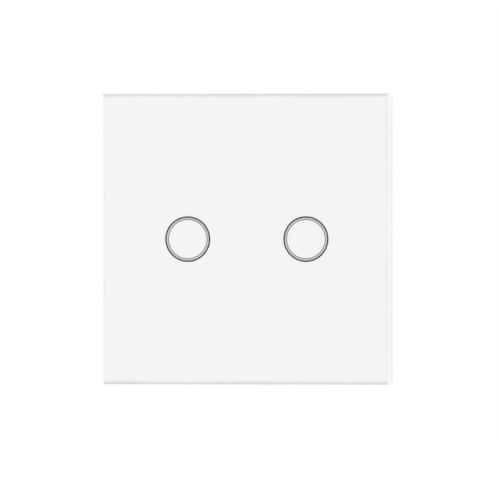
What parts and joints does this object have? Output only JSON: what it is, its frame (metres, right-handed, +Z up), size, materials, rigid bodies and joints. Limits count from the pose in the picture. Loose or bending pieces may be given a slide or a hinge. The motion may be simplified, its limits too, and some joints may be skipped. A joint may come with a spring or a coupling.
{
  "type": "touch light switch",
  "caption": "Square glass-fronted touch light switch with printed touch rings, a clip-on panel, a steel mounting plate and a rear housing with screw terminals.",
  "frame": {"origin": "centre of the panel on the wall plane, at the back of the mounting plate", "axes": "+Z up the wall, the glass faces -Y into the room, +X to the right of someone facing the glass"},
  "size_m": [0.08, 0.0368, 0.08],
  "materials": {
    "clear_glass": "clear tempered glass, ground edge",
    "white_print": "white enamel print behind glass",
    "dark_print": "dark grey enamel print behind glass",
    "ring_film": "translucent light grey print",
    "grey_print": "mid grey enamel print behind glass",
    "foam_tape": "white double-sided foam tape",
    "white_plastic": "white moulded plastic, fine grain",
    "plated_steel": "zinc-plated sheet steel",
    "screw_steel": "bright zinc-plated steel",
    "clear_plastic": "frosted clear plastic",
    "spring_wire": "bronze spring wire",
    "board": "green circuit board",
    "led_body": "pale lamp body",
    "black_plastic": "black moulded plastic",
    "passive_body": "tan ceramic body",
    "capacitor_sleeve": "dark printed sleeve",
    "film_box": "yellow box",
    "fuse_box": "brown box",
    "varistor_coat": "blue dipped coat",
    "housing_plastic": "light grey flame-proof plastic",
    "terminal_plastic": "grey terminal plastic",
    "tinned_copper": "tinned copper",
    "cage_brass": "plain brass"
  },
  "bodies": {
    "base": {"mounting_plate": "plated_steel", "touch_cover": "white_plastic", "frame_screws": "screw_steel", "light_guide_left": "clear_plastic", "light_guide_right": "clear_plastic", "touch_spring_left": "spring_wire", "touch_spring_right": "spring_wire", "touch_board": "board", "indicator_leds": "led_body", "touch_chip": "black_plastic", "chip_passives": "passive_body", "pin_header": "black_plastic", "pin_socket": "black_plastic", "power_board": "board", "relay_left": "black_plastic", "relay_right": "black_plastic", "smoothing_capacitor": "capacitor_sleeve", "choke": "black_plastic", "film_capacitor": "film_box", "bridge_rectifier": "black_plastic", "fuse": "fuse_box", "varistor": "varistor_coat", "rear_housing": "housing_plastic", "terminal_block": "terminal_plastic", "contact_bars": "tinned_copper"},
    "panel": {"glass_panel": "clear_glass", "back_print": "white_print", "ring_outlines": "dark_print", "ring_windows": "ring_film", "ring_inner_lines": "grey_print", "panel_tape": "foam_tape", "carrier_frame": "white_plastic"},
    "cage_live": {"clamp_cage_live": "cage_brass"},
    "screw_live": {"clamp_screw_live": "screw_steel"},
    "cage_load_1": {"clamp_cage_load_1": "cage_brass"},
    "screw_load_1": {"clamp_screw_load_1": "screw_steel"},
    "cage_load_2": {"clamp_cage_load_2": "cage_brass"},
    "screw_load_2": {"clamp_screw_load_2": "screw_steel"}
  },
  "joints": [
    {"name": "panel_pull", "type": "slide", "parent": "base", "child": "panel", "axis": [0, -1, 0], "range_m": [0, 0.025]},
    {"name": "screw_turn_live", "type": "hinge", "parent": "base", "child": "screw_live", "pos_m": [-0.00762, 0.0271, -0.0195], "axis": [0, -1, 0], "range_deg": [0, 1800]},
    {"name": "cage_rise_live", "type": "slide", "parent": "base", "child": "cage_live", "axis": [0, 1, 0], "range_m": [0, 0.0025]},
    {"name": "screw_turn_load_1", "type": "hinge", "parent": "base", "child": "screw_load_1", "pos_m": [0, 0.0271, -0.0195], "axis": [0, -1, 0], "range_deg": [0, 1800]},
    {"name": "cage_rise_load_1", "type": "slide", "parent": "base", "child": "cage_load_1", "axis": [0, 1, 0], "range_m": [0, 0.0025]},
    {"name": "screw_turn_load_2", "type": "hinge", "parent": "base", "child": "screw_load_2", "pos_m": [0.00762, 0.0271, -0.0195], "axis": [0, -1, 0], "range_deg": [0, 1800]},
    {"name": "cage_rise_load_2", "type": "slide", "parent": "base", "child": "cage_load_2", "axis": [0, 1, 0], "range_m": [0, 0.0025]}
  ],
  "couplings": [
    {"joint": "screw_turn_live", "follows": "cage_rise_live", "rad_per_m": 12566},
    {"joint": "screw_turn_load_1", "follows": "cage_rise_load_1", "rad_per_m": 12566},
    {"joint": "screw_turn_load_2", "follows": "cage_rise_load_2", "rad_per_m": 12566}
  ]
}
